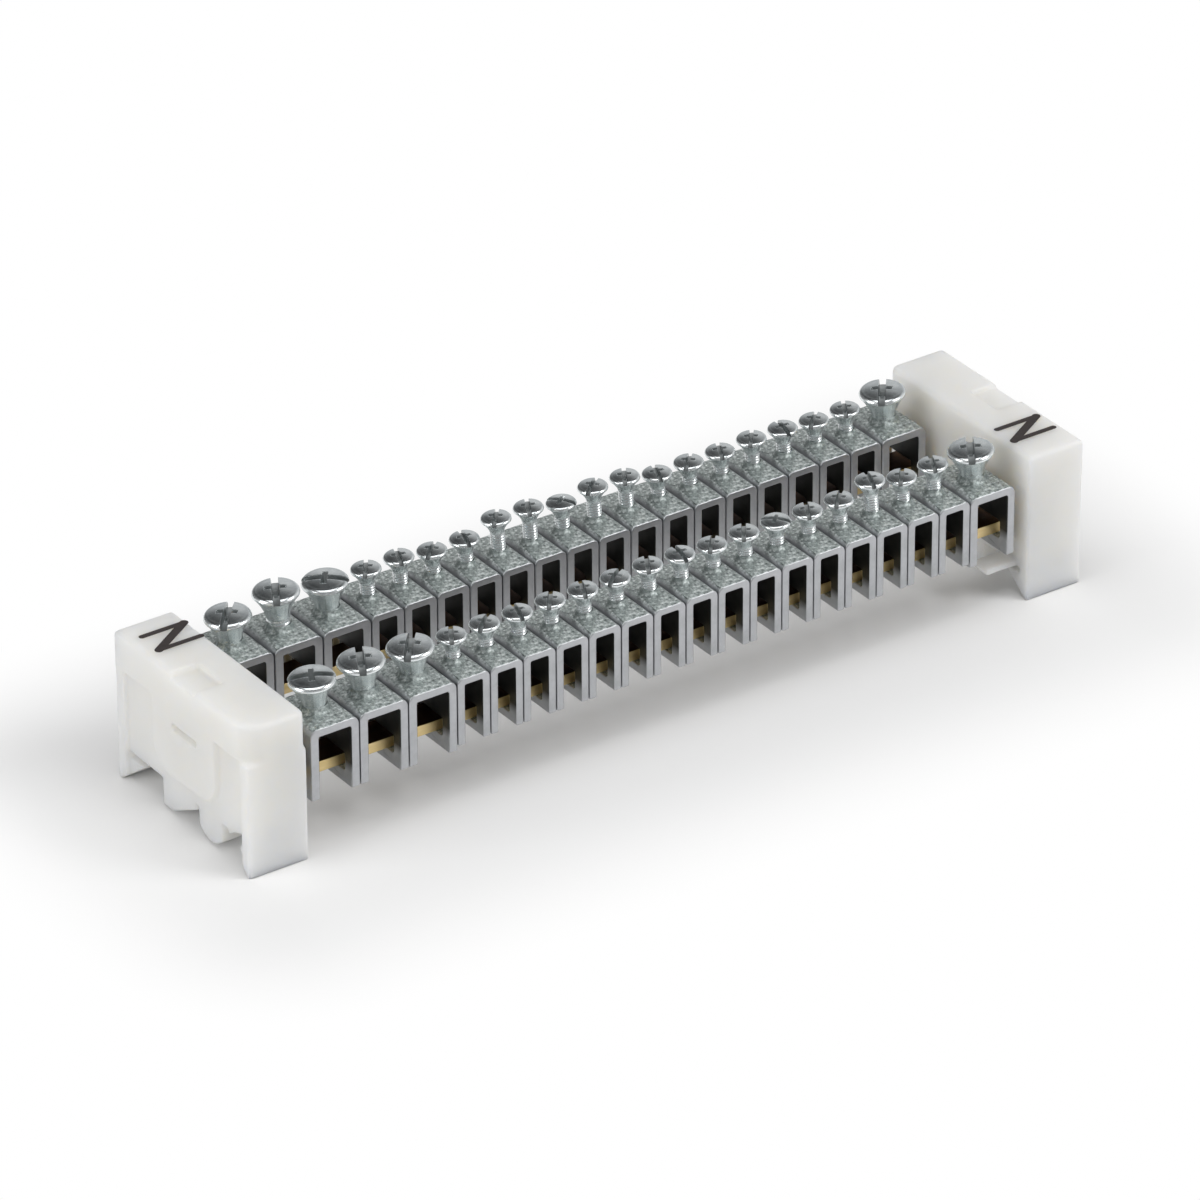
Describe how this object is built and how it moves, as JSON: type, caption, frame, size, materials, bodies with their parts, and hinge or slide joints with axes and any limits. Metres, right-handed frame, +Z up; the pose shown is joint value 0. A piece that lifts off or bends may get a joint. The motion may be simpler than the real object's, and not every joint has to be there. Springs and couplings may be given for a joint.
{
  "type": "terminal bar",
  "caption": "Rail-mounted terminal bar: two brass bars in moulded end brackets carry rows of screw clamp yokes for bare wires",
  "frame": {"origin": "on the surface that the brackets stand on, midway along and across the bar", "axes": "X along the rows with the three large clamps at -X, Y across the rows with the front row at -Y, Z up"},
  "size_m": [0.1682, 0.04, 0.0309],
  "materials": {
    "nylon": "satin",
    "brass": "satin",
    "zinc_steel": "satin",
    "screw_steel": "bright"
  },
  "bodies": {
    "root": {"bracket_left": "nylon", "bracket_right": "nylon", "bar_front": "brass", "bar_rear": "brass", "yoke_front_01": "zinc_steel", "yoke_front_02": "zinc_steel", "yoke_front_03": "zinc_steel", "yoke_front_04": "zinc_steel", "yoke_front_05": "zinc_steel", "yoke_front_06": "zinc_steel", "yoke_front_07": "zinc_steel", "yoke_front_08": "zinc_steel", "yoke_front_09": "zinc_steel", "yoke_front_10": "zinc_steel", "yoke_front_11": "zinc_steel", "yoke_front_12": "zinc_steel", "yoke_front_13": "zinc_steel", "yoke_front_14": "zinc_steel", "yoke_front_15": "zinc_steel", "yoke_front_16": "zinc_steel", "yoke_front_17": "zinc_steel", "yoke_front_18": "zinc_steel", "yoke_front_19": "zinc_steel", "yoke_front_20": "zinc_steel", "large_screws_front": "screw_steel", "small_screws_front": "screw_steel", "yoke_rear_01": "zinc_steel", "yoke_rear_02": "zinc_steel", "yoke_rear_03": "zinc_steel", "yoke_rear_04": "zinc_steel", "yoke_rear_05": "zinc_steel", "yoke_rear_06": "zinc_steel", "yoke_rear_07": "zinc_steel", "yoke_rear_08": "zinc_steel", "yoke_rear_09": "zinc_steel", "yoke_rear_10": "zinc_steel", "yoke_rear_11": "zinc_steel", "yoke_rear_12": "zinc_steel", "yoke_rear_13": "zinc_steel", "yoke_rear_14": "zinc_steel", "yoke_rear_15": "zinc_steel", "yoke_rear_16": "zinc_steel", "yoke_rear_17": "zinc_steel", "yoke_rear_18": "zinc_steel", "yoke_rear_19": "zinc_steel", "yoke_rear_20": "zinc_steel", "large_screws_rear": "screw_steel", "small_screws_rear": "screw_steel"}
  },
  "joints": []
}
